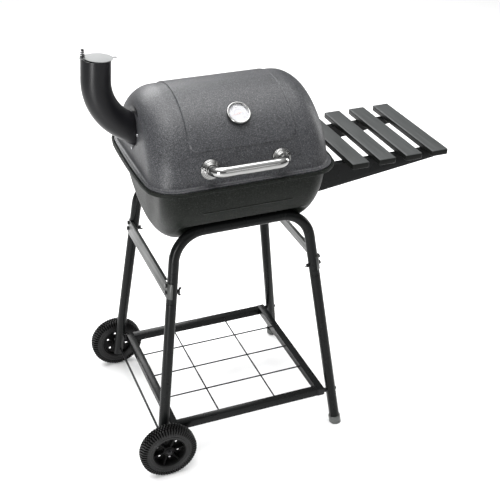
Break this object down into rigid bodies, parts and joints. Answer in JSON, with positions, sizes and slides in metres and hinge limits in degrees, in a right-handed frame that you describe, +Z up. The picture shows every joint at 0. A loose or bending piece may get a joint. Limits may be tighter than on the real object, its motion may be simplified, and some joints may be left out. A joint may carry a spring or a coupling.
{
  "type": "charcoal grill cart",
  "caption": "Charcoal barrel grill on a wheeled cart: hinged lid with a side elbow chimney, slatted side table, tube legs and a wire shelf below.",
  "frame": {"origin": "on the ground, under the middle of the whole object's bounding box; the bowl's centre is 113 mm to the -X side of it", "axes": "+X towards the side table, with the chimney on the -X side; +Y from the lid's handle towards the hinges at the rear; +Z up"},
  "size_m": [0.8969, 0.546, 1.0685],
  "materials": {
    "grill_paint": "speckled high-heat textured charcoal paint, satin",
    "black_paint": "satin black powder coat",
    "brace_paint": "satin dark grey powder coat",
    "chimney_paint": "smooth satin black high-heat paint",
    "damper_steel": "brushed light grey steel",
    "chrome": "polished chrome plate",
    "zinc": "zinc-plated steel",
    "black_zinc": "black zinc-plated steel",
    "grate_chrome": "plated wire",
    "grate_black": "black enamelled steel wire",
    "dial_white": "white printed dial",
    "glass": "clear flat lens",
    "needle_red": "red painted pointer",
    "cap_plastic": "moulded black plastic",
    "wire_black": "satin black painted wire",
    "tyre": "black moulded tyre with a block tread",
    "wheel_plastic": "moulded black plastic",
    "slat_paint": "grey-black painted board, satin"
  },
  "bodies": {
    "root": {"bowl_shell": "grill_paint", "bowl_screws": "zinc", "bracket_bolts": "black_zinc", "grate_clips": "black_paint", "shutter_rivet": "zinc", "bowl_hinges": "black_paint", "hinge_pins": "zinc", "u_tube_front": "black_paint", "u_tube_rear": "black_paint", "leg_front_left": "black_paint", "leg_front_right": "black_paint", "leg_rear_left": "black_paint", "leg_rear_right": "black_paint", "foot_caps": "cap_plastic", "brace_right": "brace_paint", "brace_left": "brace_paint", "brace_bolts": "black_zinc", "wing_nuts": "black_zinc", "shelf_rail_right": "black_paint", "shelf_rail_left": "black_paint", "shelf_rail_front": "black_paint", "shelf_rail_rear": "black_paint", "rail_plugs": "cap_plastic", "shelf_spacers": "cap_plastic", "shelf_bolts": "black_zinc", "shelf_wires": "wire_black", "axle_rod": "black_zinc", "axle_washers": "zinc", "axle_nuts": "zinc", "table_bracket_front": "black_paint", "table_bracket_rear": "black_paint", "table_slat_1": "slat_paint", "table_slat_2": "slat_paint", "table_slat_3": "slat_paint", "table_slat_4": "slat_paint", "slat_screws": "zinc"},
    "lid": {"lid_shell": "grill_paint", "lid_handle": "chrome", "handle_rosettes": "chrome", "handle_screws": "zinc", "thermometer_case": "chrome", "thermometer_nut": "zinc", "thermometer_dial": "dial_white", "thermometer_glass": "glass", "chimney_elbow": "chimney_paint", "chimney_screws": "zinc", "damper_bolt": "black_zinc", "damper_spring": "zinc", "lid_hinges": "black_paint", "lid_hinge_screws": "zinc"},
    "damper": {"chimney_damper": "damper_steel"},
    "needle": {"thermometer_needle": "needle_red"},
    "front_wheel": {"tyre_front": "tyre", "wheel_rim_front": "wheel_plastic"},
    "rear_wheel": {"tyre_rear": "tyre", "wheel_rim_rear": "wheel_plastic"},
    "shutter": {"air_shutter": "zinc"},
    "cooking_grate": {"cooking_grate": "grate_chrome"},
    "charcoal_grate": {"charcoal_grate": "grate_black"}
  },
  "joints": [
    {"name": "lid_hinge", "type": "hinge", "parent": "root", "child": "lid", "pos_m": [-0.113, 0.2225, 0.776], "axis": [-1, 0, 0], "range_deg": [0, 95]},
    {"name": "damper_swing", "type": "hinge", "parent": "lid", "child": "damper", "pos_m": [-0.44153, 0, 1.04644], "axis": [0.0785, 0, 0.9969], "range_deg": [-110, 110]},
    {"name": "needle_turn", "type": "hinge", "parent": "lid", "child": "needle", "pos_m": [-0.113, -0.12274, 0.91247], "axis": [0, -0.6225, 0.7826], "range_deg": [-240, 30], "stiffness_Nm_per_rad": 0.0005},
    {"name": "front_wheel_spin", "type": "hinge", "parent": "root", "child": "front_wheel", "pos_m": [-0.353, -0.2555, 0.075], "axis": [0, 1, 0], "continuous": true},
    {"name": "rear_wheel_spin", "type": "hinge", "parent": "root", "child": "rear_wheel", "pos_m": [-0.353, 0.2555, 0.075], "axis": [0, 1, 0], "continuous": true},
    {"name": "shutter_turn", "type": "hinge", "parent": "root", "child": "shutter", "pos_m": [-0.113, 0, 0.574], "axis": [0, 0, 1], "range_deg": [0, 60]},
    {"name": "cooking_grate_lift", "type": "slide", "parent": "root", "child": "cooking_grate", "axis": [0, 0, 1], "range_m": [0, 0.015]},
    {"name": "charcoal_grate_lift", "type": "slide", "parent": "root", "child": "charcoal_grate", "axis": [0, 0, 1], "range_m": [0, 0.05]}
  ]
}
